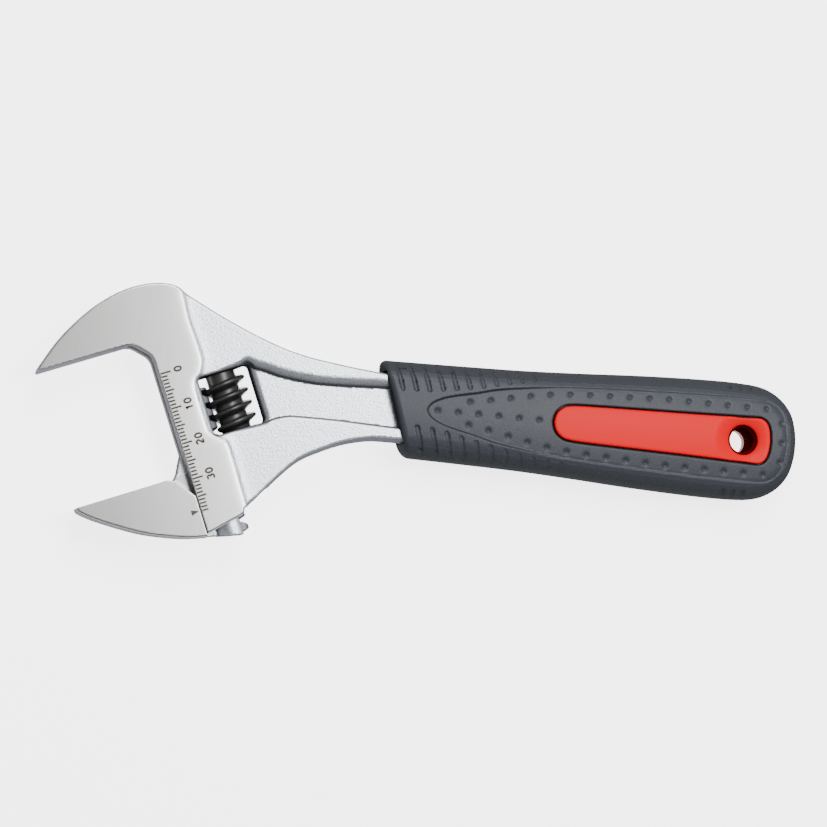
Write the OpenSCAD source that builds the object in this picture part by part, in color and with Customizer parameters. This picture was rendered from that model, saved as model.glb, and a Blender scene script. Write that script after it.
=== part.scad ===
// Adjustable wrench, 39 mm opening: forged body, movable jaw, worm, spring, pin, cored grip and inlays.
// Millimetres. The wrench lies flat: X along the handle, Z through the thickness.
// The origin is the centre of the hang hole, on the mid-plane.

/* [Parts] */

/* [Head] */
// Angle between the jaw faces and the handle, degrees
head_angle = 22; // [15:0.5:25]
// Full opening between the jaw faces
opening = 38.7; // [30:0.1:42]
// Thickness of the jaws and of the polished face round the scale
head_t = 13; // [11:0.5:16]
// Thickness of the rest of the forged head and of the neck's ribs
forge_t = 11.6; // [9:0.1:14]
// Thickness of the neck's web between its ribs
web_t = 6.8; // [5:0.1:9]

/* [Guide] */
// Diameter of the movable jaw's guide rod
rod_d = 9.8; // [8:0.1:10]
// Radial clearance of the rod in its channel
rod_gap = 0.1; // [0.05:0.01:0.2]
// Distance from the mouth edge to the rod's axis
rod_a = 7.2; // [6:0.1:9]
// Thickness of the thin web between rod and jaw plate
guide_t = 4.8; // [3:0.1:6]
// Clearance on each side of that web, and behind the plate
guide_gap = 0.12; // [0.05:0.01:0.3]

/* [Worm] */
// Distance from the mouth edge to the worm's axis
worm_a = 16.9; // [15:0.1:18]
// Outside diameter over the thread
worm_d = 12.9; // [10:0.1:14]
// Core diameter
worm_core = 8.2; // [6:0.1:9]
// Length along its axis
worm_len = 16.4; // [14:0.1:18]
// Thread pitch
pitch = 3.63; // [3:0.01:4]
// Turns of thread
worm_turns = 3.8; // [3:0.1:4.2]
// Diameter of the pin that the worm turns on
pin_d = 4; // [3:0.1:5]
// Diameter of the pin's threaded end
pin_head_d = 6; // [5:0.1:7]

/* [Grip] */
// Full thickness of the grip
grip_t = 17; // [14:0.5:20]
// Thickness of the steel tang inside the grip
tang_t = 6.4; // [5:0.1:8]
// Thickness of the hard core
core_t = 11.2; // [9:0.1:13]
// Depth of the leaf-shaped panel on each face
leaf_depth = 0.7; // [0.3:0.1:1.2]
// Gap round each inlay
inlay_gap = 0.25; // [0.1:0.05:0.5]
// Diameter of the hang hole
hang_d = 7; // [6:0.1:9]
// Diameter of the hang hole's mouth
funnel_d = 11.4; // [9:0.1:13]
// Depth of the conical mouth
funnel_depth = 2; // [1:0.1:3]
// Outside diameter of the tube that lines the hole
tube_d = 9.6; // [8.5:0.1:11]

/* [Hidden] */
$fn = 48;
// inner corner of the fixed jaw: the jaw face line meets the mouth edge here
corner = [-170.8, 12.3];
// window in the head, measured in the head frame (X away from the mouth, Y towards the fixed jaw)
win_top = -14.3;
win_bottom = win_top - worm_len - 0.2;
win_left = 9.9;
win_right = 24.9;
// where the rack rod starts with the jaw open, and where its slanted lower end would meet the mouth edge
rod_top = -16.9;
rod_bottom = -56.7;
end_slope = 0.225;
// right-hand face of the thread's first crest, beside the window's far wall
thread_top = -16.9;
groove_root = rod_a + rod_d / 2 - 2.35;
lead_tilt = atan(pitch / (2 * PI * 5.6));
pin_top = win_top + 6;
pin_bottom = -48;
pin_head_len = 7;
// the grip's front rim slants with the neck
rim_tilt = 18;
rim_x = -101;
socket_len = 4;
tube_end = -3.2;
eps = 0.01;

function in_head(p) = [corner[0] + p[0] * cos(head_angle) - p[1] * sin(head_angle),
                       corner[1] + p[0] * sin(head_angle) + p[1] * cos(head_angle)];
function knot(a, b, c, d, t) = 0.5 * (2 * b + (c - a) * t + (2 * a - 5 * b + 4 * c - d) * t * t
                                      + (3 * b - a - 3 * c + d) * t * t * t);
// smooth curve through the points p, with n steps between neighbours
function curve(p, n) = [for (i = [0 : len(p) - 2], k = [0 : (i == len(p) - 2 ? n : n - 1)])
    knot(p[max(i - 1, 0)], p[i], p[i + 1], p[min(i + 2, len(p) - 1)], k / n)];
function flip(p) = [for (i = [len(p) - 1 : -1 : 0]) [p[i][0], -p[i][1]]];
function arc(c, r, from, to, n) = [for (i = [0 : n]) c + r * [cos(from + (to - from) * i / n),
                                                              sin(from + (to - from) * i / n)]];
function box_round(x0, y0, x1, y1, r) = concat(
    arc([x1 - r, y0 + r], r, -90, 0, 5), arc([x1 - r, y1 - r], r, 0, 90, 5),
    arc([x0 + r, y1 - r], r, 90, 180, 5), arc([x0 + r, y0 + r], r, 180, 270, 5));

// fixed jaw and head, in the head frame, from the inner corner round the tip and over the back
jaw_back = curve([[-30.4, 1.4], [-24.5, 6], [-18.8, 9.4], [-12.5, 12.3], [-6.5, 14.1], [-1, 14.9],
                  [4, 14.7], [8.4, 13.7], [12, 11.8], [16, 7.6], [23, -0.2], [30.5, -7.7], [37, -13.4]], 3);
jaw_front = [[0, -56], [0, -6.4], [-0.3, -4.9], [-0.8, -3.9], [-3.3, -1.2], [-4.2, -0.4], [-5.7, 0],
             [-31.2, 0], [-31.3, 0.5]];
neck_top = curve([[-125, 12.3], [-117, 11.2], [-109, 10.3], [-101, 9.7], [-90, 9.6]], 3);
neck_low = curve([[-88, -9.6], [-103.4, -9.6], [-108, -10], [-114, -11.5], [-120, -14], [-126, -17.3],
                  [-131.4, -22.5], [-137, -29]], 3);
head_low = [[11.9, -52.4], [11.4, -53.4], [9.9, -54]];
body_edge = concat([for (p = jaw_front) in_head(p)], [for (p = jaw_back) in_head(p)], neck_top, neck_low,
                   [for (p = head_low) in_head(p)]);

// everything right of the polished face is lower; this edge runs round the window's near side
plateau_edge = curve([[12.6, 20], [12.5, 9.6], [12, 2], [12.3, -6], [12.1, -10], [10.6, -12.9], [8.7, -14.6],
                      [8, -18], [8, -26.5], [8.4, -29.6], [11.2, -32.6], [12.2, -35.4], [12, -50],
                      [12, -62]], 3);
lowered = concat([for (p = plateau_edge) in_head(p)], [[-60, -60], [-60, 60]]);

// hollows between the neck's ribs, on both faces, open towards the window
neck_hollow = concat(curve([[-146, 8.6], [-141, 7.6], [-137.8, 7], [-133.8, 6], [-129.8, 5.4],
                            [-125.8, 5], [-121.9, 4.8], [-114, 5], [-104, 5.4], [-88, 5.7]], 3),
                     curve([[-88, -5.8], [-99.7, -5.6], [-111.2, -5.3], [-117.2, -5.1], [-127, -5.1],
                            [-129.8, -5.2], [-132.9, -5.9], [-136.3, -7.2], [-140, -8.8]], 3));

// movable jaw in the head frame, at full opening
plate_edge = concat([[-guide_gap, -44.9 - guide_gap], [-guide_gap, -56.7]],
                    curve([[-5, -55.6], [-10, -53.8], [-16.4, -50.9], [-22.5, -47.2], [-28.5, -43],
                           [-31.6, -40.3], [-32.2, -39.3]], 3),
                    [[-32.2, -opening], [-6.3, -opening], [-3.8, -opening - 1.1], [-1.8, -opening - 3.2]]);

grip_half = curve([[-110, 13.2], [-95, 13.5], [-80, 13.8], [-64, 14.2], [-48, 15], [-30, 16.1], [-12, 16.8],
                   [0, 16.8], [7, 15.9], [12, 13.1], [15.4, 9], [17, 4], [17.3, 0]], 3);
leaf_half = curve([[-92.2, 0], [-91, 2], [-88, 3.7], [-84, 4.9], [-78, 6.2], [-71, 7.9], [-56, 9.9],
                   [-43, 10.8], [-27, 11.5], [-10, 12.1], [3, 12.2], [7.5, 11.7], [10.6, 9.8], [12.6, 6],
                   [13.4, 0]], 3);
inlay_half = curve([[-55.8, 0], [-55.2, 2.3], [-53.6, 4], [-51, 4.9], [-43, 5.3], [-18, 5.9], [2, 6.5],
                    [5, 6.4], [6.7, 5.3], [7.6, 3], [7.9, 0]], 3);
side_half = curve([[-112, 7.6], [-90, 8], [-60, grip_t / 2], [-20, grip_t / 2], [6, grip_t / 2], [11, 8],
                   [14.5, 6.2], [16.8, 3.2], [17.3, 0]], 3);
// the tang ends short of the hang hole
tang_half = [[-102, 8.4], [-60, 9.2], [-30, 10.6], [-17, 10.8], [-12, 7.4], [-9.5, 0]];
core_half = [[-108, 10.8], [-60, 11.2], [-30, 12.6], [-8, 13.2], [5, 12.4], [11.6, 7], [13.6, 0]];

function closed(half) = concat(half, flip([for (i = [0 : len(half) - 2]) half[i]]));
function grown(half, g) = [for (p = half) [p[0] + g * (p[0] < -40 ? -1 : p[0] > 0 ? 1 : 0),
                                           p[1] == 0 ? 0 : p[1] + g]];

module slab(edge, t) {
    translate([0, 0, -t / 2])
        linear_extrude(height = t)
            polygon(edge);
}

// places children drawn in the head frame
module head() {
    translate([corner[0], corner[1], 0])
        rotate([0, 0, head_angle])
            children();
}

// cylinder along the slide, at distance a from the mouth edge, from y0 to y1
module bore(a, d, y0, y1) {
    translate([a, y1, 0])
        rotate([90, 0, 0])
            cylinder(d = d, h = y1 - y0);
}

// half-space behind a plane that slants like the grip's rim; x is where it crosses the mid-line
module behind_rim(x) {
    translate([x, 0, 0])
        rotate([0, 0, rim_tilt])
            translate([0, -60, -30])
                cube([160, 120, 60]);
}

module forging() {
    difference() {
        slab(body_edge, head_t);
        for (s = [-1, 1])
            translate([0, 0, s * (forge_t / 2 + 5)])
                slab(lowered, 10);
        for (s = [-1, 1])
            translate([0, 0, s * (web_t / 2 + 5)])
                slab(neck_hollow, 10);
        behind_rim(rim_x + socket_len);
    }
}

module body() {
    color([0.79, 0.79, 0.79])
        difference() {
            union() {
                forging();
                slab(closed(tang_half), tang_t);
            }
            head() {
                slab(box_round(win_left, win_bottom, win_right, win_top, 1.2), 20);
                bore(rod_a, rod_d + 2 * rod_gap, -70, 30);
                translate([-5, -70, -guide_t / 2 - guide_gap])
                    cube([5 + rod_a, 76.9, guide_t + 2 * guide_gap]);
                bore(worm_a, pin_d, win_top - 1, pin_top + 0.4);
                bore(worm_a, pin_d + 0.1, pin_bottom, win_bottom + 1);
                bore(worm_a, pin_head_d + 0.04, -60, pin_bottom + pin_head_len + 0.1);
            }
        }
}

// one cutter for the gap between two rack teeth, centred on the thread's crest
module rack_groove(y) {
    translate([groove_root, y, 0])
        rotate([-lead_tilt, 0, 0])
            translate([0, 0, -8])
                linear_extrude(height = 16)
                    polygon([[0, 0.5], [0, -0.6], [4, -2.3], [4, 1.27]]);
}

module movable_jaw() {
    color([0.8, 0.8, 0.8])
        head()
            difference() {
                union() {
                    slab(plate_edge, head_t);
                    slab([[-6, -opening - 2], [-3.2, -opening], [-1.4, -35.4], [0.2, -32.4], [3, -32],
                          [rod_a, -32], [rod_a, rod_bottom - 5], [-3, rod_bottom + 1.4]], guide_t);
                    bore(rod_a, rod_d, rod_bottom - 5, rod_top);
                }
                // the lower end carries on the slant of the plate's edge
                slab([[-guide_gap, rod_bottom], [20, rod_bottom - 20 * end_slope], [20, -80], [-guide_gap, -80]],
                     30);
                for (i = [0 : 11])
                    rack_groove(thread_top - pitch * (i + 0.5));
            }
}

// one helical ridge: buttress section, steep towards the fixed jaw
steps = 24;
ridge = [[worm_core / 2 - 0.4, 0.95], [worm_d / 2, 0.4], [worm_d / 2, -0.4], [worm_core / 2 - 0.4, -1.75]];

module thread() {
    n = round(worm_turns * steps);
    rise = pitch / steps;
    fade = 6;
    points = [for (i = [0 : n], p = ridge)
        let (k = min(1, (min(i, n - i) + 1) / fade),
             r = min(p[0], worm_core / 2 - 0.3 + (worm_d / 2 - worm_core / 2 + 0.3) * k))
        [r * cos(-i * 360 / steps + 60), p[1] - i * rise, -r * sin(-i * 360 / steps + 60)]];
    faces = concat([[3, 2, 1, 0]], [[4 * n, 4 * n + 1, 4 * n + 2, 4 * n + 3]],
                   [for (i = [0 : n - 1], k = [0 : 3], h = [0, 1])
                       let (a = 4 * i + k, b = 4 * i + (k + 1) % 4)
                       h == 0 ? [a, b, a + 4] : [b, b + 4, a + 4]]);
    polyhedron(points = points, faces = faces, convexity = 10);
}

module worm() {
    color([0.12, 0.12, 0.12])
        head()
            translate([worm_a, 0, 0])
                difference() {
                    union() {
                        bore(0, worm_core, win_bottom + 0.1, win_top - 0.1);
                        translate([0, thread_top + pitch / 6, 0])
                            thread();
                    }
                    bore(0, pin_d + 0.1, -40, 0);
                    bore(0, 6.2, win_top - 4.2, 0);
                    bore(0, worm_d + 2, win_bottom - 5, win_bottom + 0.1);
                }
}

module worm_pin() {
    color([0.55, 0.55, 0.57])
        head()
            difference() {
                union() {
                    bore(worm_a, pin_d - 0.04, pin_bottom + 1, pin_top);
                    bore(worm_a, pin_head_d, pin_bottom, pin_bottom + pin_head_len);
                }
                translate([worm_a - 5, pin_bottom - 1, -0.5])
                    cube([10, 2.2, 1]);
            }
}

// half a turn of spring wire, one end raised by h over the other
module half_coil(r, d, h, side) {
    rotate([0, side * asin(h / 2 / r), 0])
        rotate([0, 0, side > 0 ? 0 : 180])
            rotate_extrude(angle = 180)
                translate([r, 0])
                    circle(d = d, $fn = 16);
}

module worm_spring() {
    r = 2.6;
    rise = 0.51;
    color([0.62, 0.62, 0.64])
        head()
            translate([worm_a, win_top - 3.92, 0])
                rotate([-90, 0, 0])
                    for (i = [0 : 6])
                        translate([0, 0, rise * (i + 0.5)])
                            half_coil(r, 0.5, rise, i % 2 == 0 ? 1 : -1);
}

module grip_core() {
    color([0.12, 0.12, 0.13])
        difference() {
            intersection() {
                slab(closed(core_half), core_t);
                behind_rim(rim_x + socket_len);
            }
            slab(closed(tang_half), tang_t);
            translate([0, 0, tube_end])
                cylinder(d = tube_d + 0.1, h = 20);
            cylinder(d = hang_d, h = 40, center = true);
        }
}

module grip_shape() {
    intersection() {
        slab(closed(grip_half), grip_t);
        translate([-120, 0, 0])
            rotate([90, 0, 90])
                linear_extrude(height = 160)
                    polygon(box_round(-16.9, -grip_t / 2, 16.9, grip_t / 2, 7.2));
        rotate([90, 0, 0])
            slab(closed(side_half), 60);
        behind_rim(rim_x);
    }
}

module grip_sleeve() {
    color([0.27, 0.28, 0.3])
        difference() {
            grip_shape();
            intersection() {
                slab(closed(core_half), core_t);
                behind_rim(rim_x + socket_len);
            }
            difference() {
                slab(body_edge, forge_t);
                behind_rim(rim_x + socket_len);
            }
            for (s = [-1, 1])
                translate([0, 0, s * (grip_t / 2 - leaf_depth + 5)])
                    slab(closed(leaf_half), 10);
            slab(closed(grown(inlay_half, inlay_gap)), 30);
        }
}

module inlay_plate() {
    difference() {
        translate([0, 0, core_t / 2])
            linear_extrude(height = grip_t / 2 - core_t / 2)
                polygon(closed(inlay_half));
        translate([0, 0, grip_t / 2 - funnel_depth])
            cylinder(d1 = hang_d, d2 = funnel_d, h = funnel_depth + eps);
        cylinder(d = hang_d, h = 40, center = true);
    }
}

module front_inlay() {
    color([0.89, 0.2, 0.2])
        difference() {
            union() {
                inlay_plate();
                translate([0, 0, tube_end])
                    cylinder(d = tube_d, h = core_t / 2 - tube_end + 0.5);
            }
            cylinder(d = hang_d, h = 40, center = true);
        }
}

module rear_inlay() {
    color([0.89, 0.2, 0.2])
        rotate([180, 0, 0])
            inlay_plate();
}

body();
movable_jaw();
worm();
worm_pin();
worm_spring();
grip_core();
grip_sleeve();
front_inlay();
rear_inlay();
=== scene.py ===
"""Adjustable wrench: the looks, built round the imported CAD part.

The smooth pieces are signed distance functions in millimetres, meshed on a grid. Their sizes follow the CAD part's,
to within about 0.6 mm.
"""

import math

import bpy
import numpy as np
from mathutils import Matrix, Vector


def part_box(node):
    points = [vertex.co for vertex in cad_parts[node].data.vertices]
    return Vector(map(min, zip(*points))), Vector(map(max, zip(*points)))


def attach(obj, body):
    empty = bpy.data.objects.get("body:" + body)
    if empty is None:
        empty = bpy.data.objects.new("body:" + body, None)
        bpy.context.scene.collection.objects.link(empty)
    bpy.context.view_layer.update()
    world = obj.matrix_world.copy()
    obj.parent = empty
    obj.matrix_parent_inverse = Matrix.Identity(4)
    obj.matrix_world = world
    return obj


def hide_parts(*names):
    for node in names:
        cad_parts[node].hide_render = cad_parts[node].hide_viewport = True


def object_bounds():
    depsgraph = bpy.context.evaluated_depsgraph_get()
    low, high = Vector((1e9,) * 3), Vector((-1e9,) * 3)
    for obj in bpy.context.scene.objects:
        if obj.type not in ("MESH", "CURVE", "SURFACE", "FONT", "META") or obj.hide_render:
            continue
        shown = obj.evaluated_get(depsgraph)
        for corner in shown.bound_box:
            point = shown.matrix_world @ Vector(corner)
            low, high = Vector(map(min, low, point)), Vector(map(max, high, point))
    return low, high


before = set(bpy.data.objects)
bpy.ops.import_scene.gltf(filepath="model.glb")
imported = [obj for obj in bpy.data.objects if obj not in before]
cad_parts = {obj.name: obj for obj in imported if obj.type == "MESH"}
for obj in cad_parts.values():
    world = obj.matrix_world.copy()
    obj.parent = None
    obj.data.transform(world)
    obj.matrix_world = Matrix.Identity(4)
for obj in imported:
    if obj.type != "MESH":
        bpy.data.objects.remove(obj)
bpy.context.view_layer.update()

# ---------------------------------------------------------------- the head's own axes
HEAD = math.radians(22)
HEAD_COS, HEAD_SIN = math.cos(HEAD), math.sin(HEAD)
CORNER = (-170.8, 12.3)
OPENING = 38.7
RIM = math.radians(18)
RIM_X = -101.0
ROD_A, ROD_R = 7.2, 4.9
WORM_A, PITCH = 16.9, 3.63
CREST = -16.9
FLAT_Z, FORGED_Z, WEB_Z = 6.5, 5.8, 3.4
GRIP_Z, CORE_Z = 8.5, 5.6
HOLE_R = 3.5


def to_head(x, y):
    """Part axes to head axes: a runs away from the mouth, b towards the fixed jaw."""
    dx, dy = x - CORNER[0], y - CORNER[1]
    return dx * HEAD_COS + dy * HEAD_SIN, dy * HEAD_COS - dx * HEAD_SIN


def from_head(a, b):
    return CORNER[0] + a * HEAD_COS - b * HEAD_SIN, CORNER[1] + a * HEAD_SIN + b * HEAD_COS


# ---------------------------------------------------------------- outlines
def curve(points, n=5):
    """A smooth curve through the points."""
    p = [np.array(q, float) for q in points]
    p = [p[0]] + p + [p[-1]]
    out = []
    for i in range(1, len(p) - 2):
        a, b, c, d = p[i - 1 : i + 3]
        for t in np.arange(n) / n:
            out.append(
                0.5
                * (2 * b + (c - a) * t + (2 * a - 5 * b + 4 * c - d) * t**2 + (3 * b - a - 3 * c + d) * t**3)
            )
    return [tuple(q) for q in out] + [tuple(points[-1])]


def closed(half):
    return list(half) + [(x, -y) for x, y in half[-2::-1]]


def heads(points):
    return [from_head(*p) for p in points]


jaw_back = [(-31.3, 0.5), (-30.4, 1.4), (-24.5, 6), (-18.8, 9.4), (-12.5, 12.3), (-6.5, 14.1), (-1, 14.9),
            (4, 14.7), (8.4, 13.7), (12, 11.8), (16, 7.6), (23, -0.2), (30.5, -7.7), (37, -13.4)]
neck_top = [(-125, 12.3), (-117, 11.2), (-109, 10.3), (-101, 9.7), (-90, 9.6)]
neck_low = [(-90, -9.6), (-103.4, -9.6), (-108, -10), (-114, -11.5), (-120, -14), (-126, -17.3),
            (-131.4, -22.5), (-137, -29)]
BODY = (
    heads(curve(jaw_back))
    + curve(neck_top)
    + curve(neck_low)
    + heads([(11.9, -52.4), (11.4, -53.4), (9.9, -54), (0, -56), (-60, -68), (-60, -12), (-31.3, -12)])
)
MOUTH = heads([(0, -90), (0, -6.4), (-0.25, -5.1), (-0.8, -4), (-3.3, -1.35), (-4.4, -0.45), (-5.8, 0),
               (-70, 0), (-70, -90)])
FLAT = heads(
    curve([(12.6, 24), (12.5, 9.6), (12, 2), (12.3, -6), (12.1, -10), (10.6, -12.9), (8.7, -14.6), (8, -18),
           (8, -26.5), (8.4, -29.6), (11.2, -32.6), (12.2, -35.4), (12, -50), (12, -64)])
    + [(-60, -80), (-60, 40)]
)
HOLLOW = curve([(-142.8, 7.8), (-141, 7.2), (-137.8, 6.6), (-133.8, 5.6), (-129.8, 5), (-125.8, 4.6),
                (-121.9, 4.4), (-114, 4.6), (-104, 5.1), (-88, 5.4)])
HOLLOW += curve([(-88, -5.5), (-99.7, -5.4), (-111.2, -5), (-117.2, -4.8), (-127, -4.8), (-129.8, -4.9),
                 (-132.9, -5.6), (-136.3, -6.9), (-138, -7.2)])
TANG = closed([(-102, 8.4), (-60, 9.2), (-30, 10.6), (-17, 10.8), (-12, 7.4), (-9.5, 0)])
CORE = closed([(-108, 10.8), (-60, 11.2), (-30, 12.6), (-8, 13.2), (5, 12.4), (11.6, 7), (13.6, 0)])
PLATE_LOW = heads(
    [(20, 30), (20, -58.8), (-0.12, -56.7)]
    + curve([(-0.8, -56.6), (-5, -55.6), (-10, -53.8), (-16.4, -50.9), (-22.5, -47.2),
             (-28.5, -43), (-31.6, -40.3), (-32.2, -39.3)])
    + [(-32.2, 30)]
)
PLATE_FACE = heads(
    [(-60, -OPENING), (-6.3, -OPENING), (-5, -OPENING - 0.5), (-3.8, -OPENING - 1.2),
     (-0.12, -45), (20, -63), (20, -90), (-60, -90)]
)
WEB = heads([(-6, -41), (-4.4, -39.2), (-2.9, -37.6), (-1.9, -35.6), (-0.6, -33.2), (0.6, -32.3), (3, -32),
             (ROD_A, -32), (ROD_A, -58.3), (-3, -55.9)])
GRIP = closed(
    curve([(-112, 13.2), (-95, 13.5), (-80, 13.8), (-64, 14.2), (-48, 15), (-30, 16.1), (-12, 16.8),
           (0, 16.8), (7, 15.9), (12, 13.1), (15.2, 9), (16.6, 4), (16.9, 0)])
)
LEAF = closed(
    curve([(-92.2, 0), (-91, 2), (-88, 3.7), (-84, 4.9), (-78, 6.2), (-71, 7.9), (-56, 9.9), (-43, 10.8),
           (-27, 11.5), (-10, 12.1), (3, 12.2), (7.5, 11.7), (10.6, 9.8), (12.6, 6), (13.4, 0)])
)
INLAY = closed(
    curve([(-55.8, 0), (-55.2, 2.3), (-53.6, 4), (-51, 4.9), (-43, 5.3), (-18, 5.9), (2, 6.5), (5, 6.4),
           (6.7, 5.3), (7.6, 3), (7.9, 0)])
)
GRIP_SIDE = ([-112, -90, -60, -20, 6, 20], [7.7, 8.0, 8.45, 8.45, 8.45, 8.1])


# ---------------------------------------------------------------- distances
def poly(x, y, points):
    """Signed distance to a polygon, negative inside."""
    x, y = np.broadcast_arrays(np.asarray(x, np.float32), np.asarray(y, np.float32))
    d = np.full(x.shape, 1e9, np.float32)
    inside = np.zeros(x.shape, bool)
    for (x0, y0), (x1, y1) in zip(points, points[1:] + points[:1], strict=True):
        ex, ey = x1 - x0, y1 - y0
        wx, wy = x - np.float32(x0), y - np.float32(y0)
        t = np.clip((wx * ex + wy * ey) / max(ex * ex + ey * ey, 1e-9), 0, 1).astype(np.float32)
        np.minimum(d, (wx - ex * t) ** 2 + (wy - ey * t) ** 2, out=d)
        if y0 != y1:
            inside ^= ((y0 > y) != (y1 > y)) & (wx < ex * wy / ey)
    return np.where(inside, -1, 1).astype(np.float32) * np.sqrt(d)


def both(a, b, r):
    """Intersection, its convex edge rounded to radius r."""
    u, v = np.maximum(a + r, 0), np.maximum(b + r, 0)
    return np.minimum(np.maximum(a, b), -r) + np.sqrt(u * u + v * v)


def either(a, b, r):
    """Union, its concave edge filled to radius r."""
    u, v = np.maximum(r - a, 0), np.maximum(r - b, 0)
    return np.maximum(np.minimum(a, b), r) - np.sqrt(u * u + v * v)


def step(t):
    t = np.clip(t, 0, 1)
    return t * t * (3 - 2 * t)


def box2(x, y, x0, y0, x1, y1, r=0.0):
    u = np.abs(x - (x0 + x1) / 2) - (x1 - x0) / 2 + r
    v = np.abs(y - (y0 + y1) / 2) - (y1 - y0) / 2 + r
    return np.minimum(np.maximum(u, v), 0) + np.hypot(np.maximum(u, 0), np.maximum(v, 0)) - r


def segment(x, y, p, q):
    ex, ey = q[0] - p[0], q[1] - p[1]
    wx, wy = x - p[0], y - p[1]
    t = np.clip((wx * ex + wy * ey) / (ex * ex + ey * ey), 0, 1)
    return np.hypot(wx - ex * t, wy - ey * t)


def settle(d):
    """0 before d = 0, then quickly and ever more slowly towards 1, with a rounded start."""
    return 1 - np.exp(-(d + np.sqrt(d * d + 0.18)) / 1.6)


# ---------------------------------------------------------------- the pieces
def body(x, y, z):
    a, b = to_head(x, y)
    zz = np.abs(z)
    forged = settle(poly(x, y, FLAT) - 0.35)
    top = FLAT_Z - (FLAT_Z - FORGED_Z) * forged
    draft = 0.02 + 0.12 * forged
    side = (poly(x, y, BODY) + draft * zz) / np.sqrt(1 + draft * draft)
    f = both(side, zz - top, 0.6)
    f = both(f, -poly(x, y, MOUTH), 0.15)
    f = np.maximum(f, (x - RIM_X - 4) * math.cos(RIM) + y * math.sin(RIM))
    upper = step((y + 2) / 4)
    lean = 0.12 + 0.2 * upper
    wall = (poly(x, y, HOLLOW) - lean * (zz - WEB_Z)) / np.sqrt(1 + lean * lean)
    f = both(f, -np.maximum(wall, WEB_Z - zz), 0.7 + 1.3 * upper)
    f = np.minimum(f, both(poly(x, y, TANG), zz - 3.2, 0.3))
    f = both(f, -box2(a, b, 9.9, -30.9, 24.9, -14.3, 1.2), 0.8 + 0.9 * step((a - 14) / 9))
    f = both(f, ROD_R + 0.1 - np.hypot(a - ROD_A, z), 0.12)
    f = both(f, -np.maximum(np.maximum(box2(a, z, -5, -2.52, ROD_A, 2.52), b - 6.9), -70 - b), 0.12)
    f = np.maximum(f, -np.maximum(np.hypot(a - WORM_A, z) - 2.02, np.abs(b + 28) - 20.1))
    return both(f, -np.maximum(np.hypot(a - WORM_A, z) - 3.02, b + 40.9), 0.15)


def movable_jaw(x, y, z):
    a, b = to_head(x, y)
    zz = np.abs(z)
    top = zz - FLAT_Z
    low = both(poly(x, y, PLATE_LOW) + 0.02 * zz, top, 0.6)
    face = both(poly(x, y, PLATE_FACE), top, 0.25)
    f = both(both(low, face, 0.15), a + 0.12, 0.1)
    web = both(poly(x, y, WEB), zz - 2.4, 0.35)
    f = either(f, web, 0.5)
    rod = both(np.hypot(a - ROD_A, z) - ROD_R, np.abs(b + 38.4) - 21.5, 0.5)
    rod = both(rod, -(b + 56.75 + 0.225 * a) * 0.975, 0.4)
    s = b - z * PITCH / (2 * math.pi * 5.6) - CREST + PITCH / 2
    s = s - PITCH * np.clip(np.round(s / PITCH), -11, 0)
    depth = a - (ROD_A + ROD_R - 2.35)
    groove = np.maximum(np.maximum(s - 0.5 - 0.19 * depth, -s - 0.6 - 0.425 * depth) * 0.93, -depth)
    rod = both(rod, -groove, 0.18)
    return np.minimum(f, rod)


RIDGE = [(3.4, 0.85), (5.6, 0.62), (6.1, 0.52), (6.38, 0.25), (6.43, -0.1), (6.33, -0.4), (6, -0.65),
         (5, -1.15), (4.2, -1.5), (3.4, -1.8)]


def worm(x, y, z):
    a, b = to_head(x, y)
    r = np.hypot(a - WORM_A, z)
    turn = np.arctan2(z, a - WORM_A) / (2 * math.pi)
    s = (b - CREST) + PITCH * turn
    k = np.round(s / PITCH)
    s = s - PITCH * k
    along = turn - k
    fade = step((along + 0.2) / 0.25) * step((3.62 - along) / 0.25)
    ridge = poly(r + 2.9 * (1 - fade), s, RIDGE) * 0.95
    ends = np.abs(b + 22.6) - 8.2
    core = both(r - 4.1, ends, 0.3)
    f = np.maximum(either(core, ridge, 0.35), ends)
    f = both(f, 2.05 - r, 0.2)
    return both(f, -np.maximum(r - 3.1, -18.5 - b), 0.15)


TOP_SLOTS = [(-99.2, 5.3), (-95.4, 5.4), (-91.6, 5.6), (-87.8, 6.1), (-84, 6.6), (-80.2, 7.2), (-76.4, 8),
             (-72.7, 8.9), (-69, 9.7), (-65.4, 10.4), (-61.8, 11.1)]
LOW_SLOTS = [(-94.4, -5.2), (-90.2, -5.5), (-86, -6), (-81.8, -6.9), (-77.5, -7.8), (-73.2, -8.7),
             (-68.9, -9.5), (-64.7, -10.3), (-60.6, -10.9), (-56.6, -11.3), (-52.8, -11.6)]


def dots():
    """Centres of the dimples: one row on the middle line, then two that follow the panel's edge."""
    out = [(-89 + 5.8 * i, 0) for i in range(6)]
    row = [(-80, 3.3), (-74.2, 4.3), (-68.5, 5.4), (-62.9, 6.5), (-57.2, 7.5), (-51.5, 8.1)]
    row += [(-45.7 + 5.78 * i, 8.5 + min(i, 4) * 0.24) for i in range(10)]
    out += row + [(x, -y) for x, y in row]
    return out + [(11, 5.6), (11.3, 0), (11, -5.6)]


def crown(y):
    """How much lower the grip's faces are at y than on the middle line."""
    return y * y / 150


def groove(x, y, p, q, half):
    """1 in the middle of a groove from p to q, falling to 0 at its edges."""
    d = segment(x, y, p, q) / half
    return np.sqrt(np.maximum(1 - d * d, 0))


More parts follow.
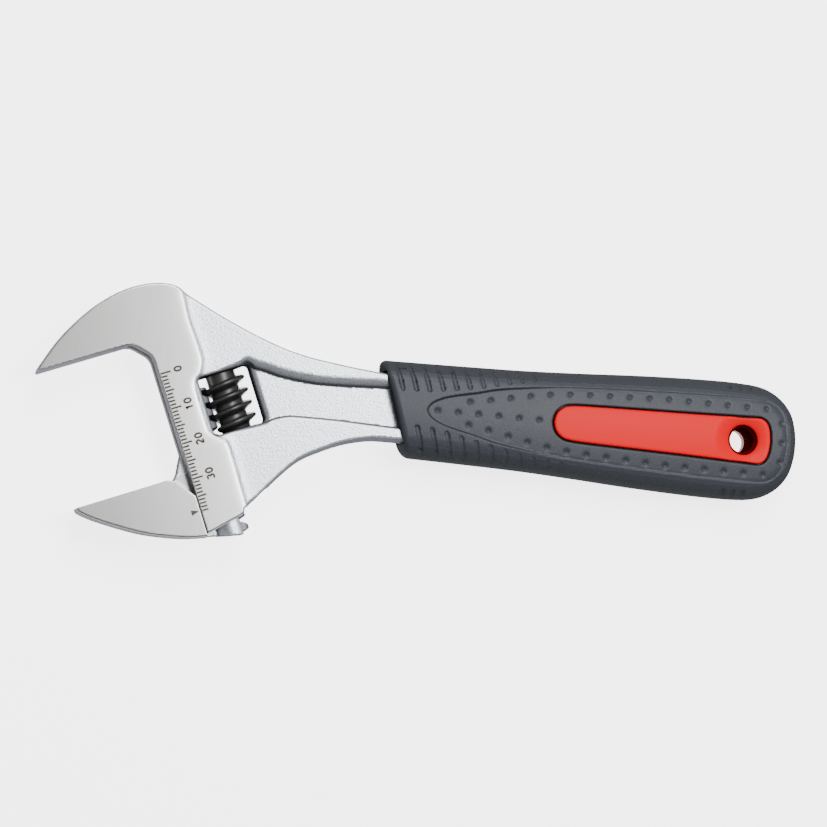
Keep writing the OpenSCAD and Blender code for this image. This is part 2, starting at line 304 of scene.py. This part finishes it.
def grip_sleeve(x, y, z):
    zz = np.abs(z)
    leaf = -poly(x, y, LEAF)
    top = np.interp(x, *GRIP_SIDE).astype(np.float32) - crown(y)
    front = step((-50 - x) / 25)
    top = top - (0.35 + 0.25 * front) * step((leaf + 0.1) / 0.7)
    for px, py in dots():
        top = top - 0.42 * np.exp(-((x - px) ** 2 + (y - py) ** 2) / 0.5)
    f = both(poly(x, y, GRIP), zz - top, 6.0)
    cut = 0 * f
    for n, (px, py) in enumerate(TOP_SLOTS):
        end = (px - 12 * math.sin(RIM), py + 12 * math.cos(RIM))
        cut = np.maximum(cut, (0.42 - 0.02 * n) * groove(x, y, (px, py), end, 0.62))
    for n, (px, py) in enumerate(LOW_SLOTS):
        end = (px + 12 * math.sin(RIM), py - 12 * math.cos(RIM))
        cut = np.maximum(cut, (0.36 - 0.02 * n) * groove(x, y, (px, py), end, 0.62))
    for px in (-4.5, -1.5, 1.5):
        for side in (-1, 1):
            cut = np.maximum(cut, 0.5 * groove(x, y, (px, side * 14.6), (px, side * 20), 0.5))
    f = f + cut * step((zz - 2.5) / 3)
    rim = -((x - RIM_X) * math.cos(RIM) + y * math.sin(RIM))
    f = both(f, rim, 1.8)
    socket = np.maximum(np.maximum(poly(x, y, BODY) - 0.05, zz - FORGED_Z), -(rim + 4))
    f = both(f, -socket, 0.3)
    f = np.maximum(f, -np.maximum(np.maximum(poly(x, y, CORE), zz - CORE_Z), rim + 4))
    return both(f, 0.3 - poly(x, y, INLAY), 0.55)


def inlay(x, y, z, tube_end):
    """The red plate and, down to tube_end, the tube in its hole; z points out of the face."""
    edge = poly(x, y, INLAY)
    r = np.hypot(x, y)
    top = 8.45 - 0.4 * step((x - 4.5) / 4) - crown(y)
    f = both(np.maximum(edge, CORE_Z - z), z - top, 0.7)
    tube = np.maximum(r - 4.8, np.maximum(tube_end - z, z - 6.2))
    f = np.minimum(f, tube)
    cone = (r - HOLE_R - 1.3 * (z - 6.3)) * 0.61
    f = both(f, -np.maximum(cone, 5.8 - z), 1.6)
    return both(f, HOLE_R - r, 0.25)


def front_inlay(x, y, z):
    return inlay(x, y, z, -3.2)


def rear_inlay(x, y, z):
    return inlay(x, y, -z, CORE_Z)


# ---------------------------------------------------------------- meshing
def gradient(f, p, h=0.04):
    out = np.zeros_like(p)
    for k in ((1, -1, -1), (-1, -1, 1), (-1, 1, -1), (1, 1, 1)):
        q = p + h * np.array(k, p.dtype)
        out += f(q[:, 0], q[:, 1], q[:, 2])[:, None] * np.array(k, p.dtype)
    return out / (4 * h)


def surface(f, low, high, cell):
    """Vertices, quads and normals of the surface f = 0 in the box, in millimetres.

    Dual contouring: each cell's vertex goes where the surface's tangent planes in it meet, which keeps edges
    crisp.
    """
    low, high = np.array(low, np.float64), np.array(high, np.float64)
    n = np.ceil((high - low) / cell).astype(int) + 1
    axes = [(low[i] + cell * np.arange(n[i])).astype(np.float32) for i in range(3)]
    v = f(axes[0][:, None, None], axes[1][None, :, None], axes[2][None, None, :]).astype(np.float32)
    neg = v < 0
    cells, points, slopes, quads = [], [], [], []
    for axis in range(3):
        lo = [slice(None)] * 3
        hi = [slice(None)] * 3
        lo[axis], hi[axis] = slice(0, -1), slice(1, None)
        lo, hi = tuple(lo), tuple(hi)
        cross = np.argwhere(neg[lo] != neg[hi])
        u, w = [i for i in range(3) if i != axis]
        cross = cross[
            (cross[:, u] > 0) & (cross[:, w] > 0) & (cross[:, u] < n[u] - 1) & (cross[:, w] < n[w] - 1)
        ]
        f0 = v[tuple(cross.T)]
        end = cross.copy()
        end[:, axis] += 1
        f1 = v[tuple(end.T)]
        p = (cross * cell + low).astype(np.float32)
        start = p[:, axis].copy()
        p[:, axis] = start + cell * f0 / (f0 - f1)
        fm = f(p[:, 0], p[:, 1], p[:, 2])
        # one more false-position step, between the new point and the end with the other sign
        side = (fm < 0) == (f0 < 0)
        q0 = np.where(side, p[:, axis], start)
        q1 = np.where(side, start + cell, p[:, axis])
        g0, g1 = np.where(side, fm, f0), np.where(side, f1, fm)
        gap = g0 - g1
        p[:, axis] = np.where(
            np.abs(gap) > 1e-7, q0 + (q1 - q0) * g0 / np.where(gap == 0, 1, gap), p[:, axis]
        )
        g = gradient(f, p, 0.02)
        g /= np.maximum(np.sqrt((g * g).sum(1)), 1e-9)[:, None]
        quad = []
        for du, dw in ((0, 0), (1, 0), (1, 1), (0, 1)):
            c = cross.copy()
            c[:, u] -= du
            c[:, w] -= dw
            quad.append((c[:, 0] * n[1] + c[:, 1]) * n[2] + c[:, 2])
            points.append(p.astype(np.float64))
            slopes.append(g.astype(np.float64))
        cells += quad
        quad = np.stack(quad, 1)
        flip = (f0 < 0) == (axis == 1)
        quad[flip] = quad[flip, ::-1]
        quads.append(quad)
    ids, where = np.unique(np.concatenate(cells), return_inverse=True)
    count = np.bincount(where)
    points, slopes = np.concatenate(points), np.concatenate(slopes)
    middle = np.stack([np.bincount(where, points[:, i]) / count for i in range(3)], 1)
    ata = np.empty((len(ids), 3, 3))
    atb = np.empty((len(ids), 3))
    away = (slopes * (points - middle[where])).sum(1)
    for i in range(3):
        atb[:, i] = np.bincount(where, slopes[:, i] * away)
        for k in range(i, 3):
            ata[:, i, k] = ata[:, k, i] = np.bincount(where, slopes[:, i] * slopes[:, k])
    ata += 0.06 * np.eye(3)
    move = np.linalg.solve(ata, atb[:, :, None])[:, :, 0]
    corner = np.stack([ids // (n[1] * n[2]), ids // n[2] % n[1], ids % n[2]], 1) * cell + low
    verts = np.clip(middle + move, corner, corner + cell)
    quads = np.searchsorted(ids, np.concatenate(quads))
    verts = verts.astype(np.float32)
    g = gradient(f, verts)
    normals = g / np.maximum(np.sqrt((g * g).sum(1)), 1e-9)[:, None]
    return verts, quads, normals


def add_mesh(name, verts, faces, normals=None):
    """An object from millimetre vertices; faces is an array with one row per face."""
    faces = np.asarray(faces)
    mesh = bpy.data.meshes.new(name)
    mesh.vertices.add(len(verts))
    mesh.vertices.foreach_set("co", (np.asarray(verts, np.float32) / 1000).ravel())
    mesh.loops.add(faces.size)
    mesh.loops.foreach_set("vertex_index", faces.astype(np.int32).ravel())
    mesh.polygons.add(len(faces))
    mesh.polygons.foreach_set("loop_start", np.arange(0, faces.size, faces.shape[1], dtype=np.int32))
    mesh.polygons.foreach_set("use_smooth", np.ones(len(faces), bool))
    mesh.update(calc_edges=True)
    mesh.validate()
    if normals is not None:
        mesh.normals_split_custom_set_from_vertices([tuple(v) for v in normals])
    ob = bpy.data.objects.new(name, mesh)
    bpy.context.scene.collection.objects.link(ob)
    return ob


def piece(name, f, cell, materials, rides, region=None, margin=0.6):
    """Meshes f over the CAD node of this name and puts the mesh in its place."""
    low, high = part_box(name)
    verts, quads, normals = surface(f, np.array(low) * 1000 - margin, np.array(high) * 1000 + margin, cell)
    ob = add_mesh(name + "_look", verts, quads, normals)
    for m in materials:
        ob.data.materials.append(m)
    if region is not None:
        mid = verts[quads].mean(1)
        slots = region(mid[:, 0], mid[:, 1], mid[:, 2]).astype(np.int32)
        ob.data.polygons.foreach_set("material_index", slots)
    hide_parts(name)
    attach(ob, rides)
    return ob


# ---------------------------------------------------------------- materials
def node(tree, kind, values=(), **settings):
    n = tree.nodes.new("ShaderNode" + kind)
    for name, value in settings.items():
        setattr(n, name, value)
    for socket, value in values:
        if isinstance(value, bpy.types.NodeSocket):
            tree.links.new(value, n.inputs[socket])
        else:
            n.inputs[socket].default_value = value
    return n


def material(name, face, side=None, metallic=0.0, roughness=0.5, specular=0.5, side_metallic=None, **extra):
    """A surface with one colour where it faces the front or back and, on its sides and slopes, a second, darker
    colour that is painted shade.
    """
    m = bpy.data.materials.new(name)
    m.use_nodes = True
    t = m.node_tree
    s = t.nodes["Principled BSDF"]
    s.inputs["Metallic"].default_value = metallic
    s.inputs["Roughness"].default_value = roughness
    s.inputs["Specular IOR Level"].default_value = specular
    s.inputs["Base Color"].default_value = (*face, 1)
    if side is None:
        return m
    place = node(t, "TexCoord")
    up = node(t, "SeparateXYZ", [(0, place.outputs["Normal"])])
    up = node(t, "Math", [(0, up.outputs["Z"])], operation="ABSOLUTE")
    faces_up = [(0, up.outputs[0]), (1, extra.get("from_z", 0.35)), (2, extra.get("to_z", 0.92))]
    flat = node(t, "MapRange", faces_up)
    # painted shade: the face colour turns into the darker side colour as the surface tilts away from the front
    painted_shade_mix = node(t, "MixRGB", [(0, flat.outputs[0]), (1, (*side, 1)), (2, (*face, 1))])
    if side_metallic is not None:
        level = node(t, "MapRange", [(0, flat.outputs[0]), (3, side_metallic), (4, metallic)])
        t.links.new(level.outputs[0], s.inputs["Metallic"])
    turn = node(t, "Mapping", [(0, place.outputs["Object"]), ("Scale", extra.get("stretch", (1, 1, 1)))])
    turn.inputs["Rotation"].default_value = (0, 0, -HEAD)
    noise = node(t, "TexNoise", [(0, turn.outputs[0]), ("Scale", extra["scale"]), ("Detail", 3)])
    amount = extra.get("spread", 0.0)
    tone = node(t, "MapRange", [(0, noise.outputs[0]), (1, 0.3), (2, 0.7), (3, 1 - amount), (4, 1 + amount)])
    color = node(t, "VectorMath", [(0, painted_shade_mix.outputs[0]), ("Scale", tone.outputs[0])], operation="SCALE")
    t.links.new(color.outputs[0], s.inputs["Base Color"])
    bump = node(t, "Bump", [("Height", noise.outputs[0]), ("Distance", extra["depth"])])
    t.links.new(bump.outputs[0], s.inputs["Normal"])
    return m


# the second colour given to each material below is painted shade on its sides, slopes and walls
polished = material("polished plate", (0.42, 0.42, 0.415), (0.15, 0.15, 0.17), 1, 0.28, 0, 0, scale=700,
                    depth=0.000003, stretch=(1, 0.12, 1), spread=0.03, from_z=0.3, to_z=0.8)
satin = material("satin plate", (0.62, 0.65, 0.7), (0.1, 0.105, 0.12), 1, 0.4, 0, 0, scale=1700, depth=0.0001,
                 spread=0.16, from_z=0.55, to_z=0.97)
# painted shade: a near-black plate for the walls inside the worm's window
painted_shade_plate = material("shaded plate", (0.03, 0.03, 0.032), (0.025, 0.025, 0.028), 0, 0.5, 0, scale=1100,
                 depth=0.00005)
oxide = material("black oxide", (0.03, 0.029, 0.028), (0.015, 0.015, 0.015), 0, 0.38, 0.6, scale=1500,
                 depth=0.00003, spread=0.25)
steel = material("bright steel", (0.55, 0.55, 0.57), metallic=1, roughness=0.3)
plastic = material("black plastic", (0.02, 0.02, 0.022))
rubber = material("soft rubber", (0.045, 0.049, 0.06), (0.032, 0.034, 0.038), 0, 0.38, 0.2, scale=2400,
                  depth=0.00005, spread=0.12, from_z=0.6, to_z=0.98)
rubber_side = material("soft rubber sides", (0.045, 0.049, 0.06), (0.032, 0.034, 0.038), 0, 0.5, 0.0,
                       scale=2400, depth=0.00005, spread=0.12, from_z=0.6, to_z=0.98)
red = material("red plastic", (0.85, 0.001, 0.008), (0.2, 0.001, 0.003), 0, 0.3, 0.05, scale=500,
               depth=0.000003)
# painted shade: a darker red for the walls of the hanging hole
red_bore_painted_shade = material("red plastic with painted shade in the hole", (0.1, 0.001, 0.002), (0.06, 0.001, 0.002), 0, 0.5, 0.0,
                    scale=500, depth=0.000003)
ink = material("scale ink", (0.1, 0.085, 0.075), roughness=0.9, specular=0.05)

# ---------------------------------------------------------------- the pieces in place
fine = 0.33


def steep(f, x, y, z):
    g = gradient(f, np.stack([x, y, z], 1))
    return np.abs(g[:, 2]) < 0.84 * np.sqrt((g * g).sum(1))


# the hanging hole, where the red gets painted shade
def bore_shade_region(x, y, z):
    return (np.hypot(x, y) < 5) & (np.abs(z) < 6.9)


def guide(x, y, z):
    """1 on the movable jaw's rod and on the thin web in the mouth's corner."""
    a, b = to_head(x, y)
    return (a > -0.05) | ((np.abs(z) < 2.6) & (b > 0.2 - OPENING))


def finish_and_window_shade(x, y, z):
    """0 on the polished face, 1 on the forged surface, 2 on the walls inside the window, which get painted shade.
    """
    a, b = to_head(x, y)
    walls = (box2(a, b, 9.9, -30.9, 24.9, -14.3, 1.2) < 0.1) & (np.abs(z) < 4.6)
    return np.where(walls, 2, poly(x, y, FLAT) > 0.15)


piece("body", body, fine, (polished, satin, painted_shade_plate), "handle", region=finish_and_window_shade)
piece("movable_jaw", movable_jaw, 0.27, (polished, satin), "movable_jaw",
      region=guide)
piece("worm", worm, 0.16, (oxide,), "worm")
piece("grip_sleeve", grip_sleeve, 0.3, (rubber, rubber_side), "handle",
      region=lambda x, y, z: steep(grip_sleeve, x, y, z))
piece("front_inlay", front_inlay, 0.25, (red, red_bore_painted_shade), "handle",
      region=bore_shade_region)
piece("rear_inlay", rear_inlay, 0.25, (red, red_bore_painted_shade), "handle",
      region=bore_shade_region)
for name, look in (("worm_pin", steel), ("worm_spring", steel), ("grip_core", plastic)):
    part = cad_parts[name]
    part.data.materials.clear()
    part.data.materials.append(look)


# ---------------------------------------------------------------- the millimetre scale
def flat_quads(name, shapes, z, rides):
    """Thin marks in the head's axes: each shape is a list of corners."""
    verts, faces = [], []
    for shape in shapes:
        for p in shape:
            verts.append((*from_head(*p), z))
        faces.append(tuple(range(len(verts) - len(shape), len(verts))))
    mesh = bpy.data.meshes.new(name)
    mesh.from_pydata([[c / 1000 for c in v] for v in verts], [], faces)
    ob = bpy.data.objects.new(name, mesh)
    bpy.context.scene.collection.objects.link(ob)
    ob.data.materials.append(ink)
    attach(ob, rides)
    return ob


def bar(a0, a1, b, width):
    return [(a0, b - width / 2), (a1, b - width / 2), (a1, b + width / 2), (a0, b + width / 2)]


def stroke(points, width):
    """A run of quads along a line of points."""
    out = []
    p = [np.array(q, float) for q in points]
    side = []
    for i in range(len(p)):
        d = p[min(i + 1, len(p) - 1)] - p[max(i - 1, 0)]
        d /= np.hypot(*d)
        side.append(np.array((-d[1], d[0])) * width / 2)
    for i in range(len(p) - 1):
        corners = (p[i] + side[i], p[i] - side[i], p[i + 1] - side[i + 1], p[i + 1] + side[i + 1])
        out.append([tuple(c) for c in corners])
    return out


def ring(cx, cy, rx, ry, start=0, stop=360, n=20):
    turns = [math.radians(t) for t in np.linspace(start, stop, n)]
    return [(cx + rx * math.cos(t), cy + ry * math.sin(t)) for t in turns]


# strokes of each figure, on a grid 1 wide and 2 high
DIGITS = {
    "0": [ring(0.5, 1, 0.4, 0.85)],
    "1": [[(0.14, 1.42), (0.56, 1.86)], [(0.5, 1.95), (0.5, 0.04)]],
    "2": [ring(0.5, 1.42, 0.38, 0.44, 165, -35, 12), [(0.82, 1.2), (0.15, 0.2)],
          [(0.06, 0.15), (0.94, 0.15)]],
    "3": [ring(0.47, 1.42, 0.36, 0.42, 155, -88, 12), ring(0.47, 0.57, 0.4, 0.44, 88, -155, 12)],
}
# where the 0 mark lies, how far the last mark is from it, and how high the ink lies
START, LAST = -10.35, 39
INK_Z = FLAT_Z + 0.012
marks = []
for mm in range(LAST + 1):
    length = 2.9 if mm % 10 == 0 else 2.4 if mm % 5 == 0 else 1.75
    marks.append(bar(0.45, 0.45 + length, START - mm, 0.52))
for label in ("0", "10", "20", "30"):
    tall, wide, gap = 1.1, 1.42, 0.34
    span = len(label) * wide + (len(label) - 1) * gap
    for i, digit in enumerate(label):
        for line in DIGITS[digit]:
            # the figures read along the slide, their tops towards the mouth
            first = START - int(label) + 0.1 - span / 2 + i * (wide + gap)
            marks += stroke([(6.5 - v * tall, first + u * wide) for u, v in line], 0.56)
flat_quads("scale_marks", marks, INK_Z, "handle")
at = START - LAST
arrow = [(-0.4, at + 0.1), (-2.7, at + 0.95), (-2.7, at - 0.65)]
flat_quads("scale_arrow", [arrow], INK_Z, "movable_jaw")


# ---------------------------------------------------------------- floor, light, camera
def look_at(ob, target, up=(0, 0, 1)):
    back = (ob.location - Vector(target)).normalized()
    right = Vector(up).cross(back).normalized()
    turn = Matrix((right, back.cross(right), back)).transposed().to_4x4()
    ob.matrix_world = Matrix.Translation(ob.location) @ turn


low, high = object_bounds()
bpy.ops.mesh.primitive_plane_add(size=6, location=((low[0] + high[0]) / 2, 0, low[2] - 0.0002))
floor = bpy.context.object
floor.name = "floor"
pale = material("floor", (0.93, 0.93, 0.93), roughness=0.9)
glow = pale.node_tree.nodes["Principled BSDF"]
glow.inputs["Emission Color"].default_value = (1, 1, 1, 1)
glow.inputs["Emission Strength"].default_value = 3.5
floor.data.materials.append(pale)


def area(name, place, target, size, power):
    data = bpy.data.lights.new(name, "AREA")
    data.shape = "RECTANGLE"
    data.size, data.size_y = size
    data.energy = power
    ob = bpy.data.objects.new(name, data)
    bpy.context.scene.collection.objects.link(ob)
    ob.location = place
    look_at(ob, target, (0, 0.1, 1))


centre = (-0.095, 0, 0)
area("key", (-0.1, 0.5, 0.75), centre, (0.4, 0.4), 6)
area("over", (0.15, 0.11, 0.9), centre, (0.3, 0.3), 4.5)
area("strip", (0.3, 0.2, 0.85), (-0.15, 0, 0), (0.12, 0.5), 2)
world = bpy.data.worlds.new("studio")
world.use_nodes = True
world.node_tree.nodes["Background"].inputs["Color"].default_value = (1, 1, 1, 1)
world.node_tree.nodes["Background"].inputs["Strength"].default_value = 0.22
bpy.context.scene.world = world

lens = bpy.data.cameras.new("camera")
lens.lens = 111.7
lens.sensor_width = 36
lens.clip_start = 0.01
camera = bpy.data.objects.new("camera", lens)
bpy.context.scene.collection.objects.link(camera)
camera.location = (-0.2233, -0.0708, 0.7049)
look_at(camera, (-0.0944, -0.0007, 0), (-0.0778, 0.997, 0))
bpy.context.scene.camera = camera
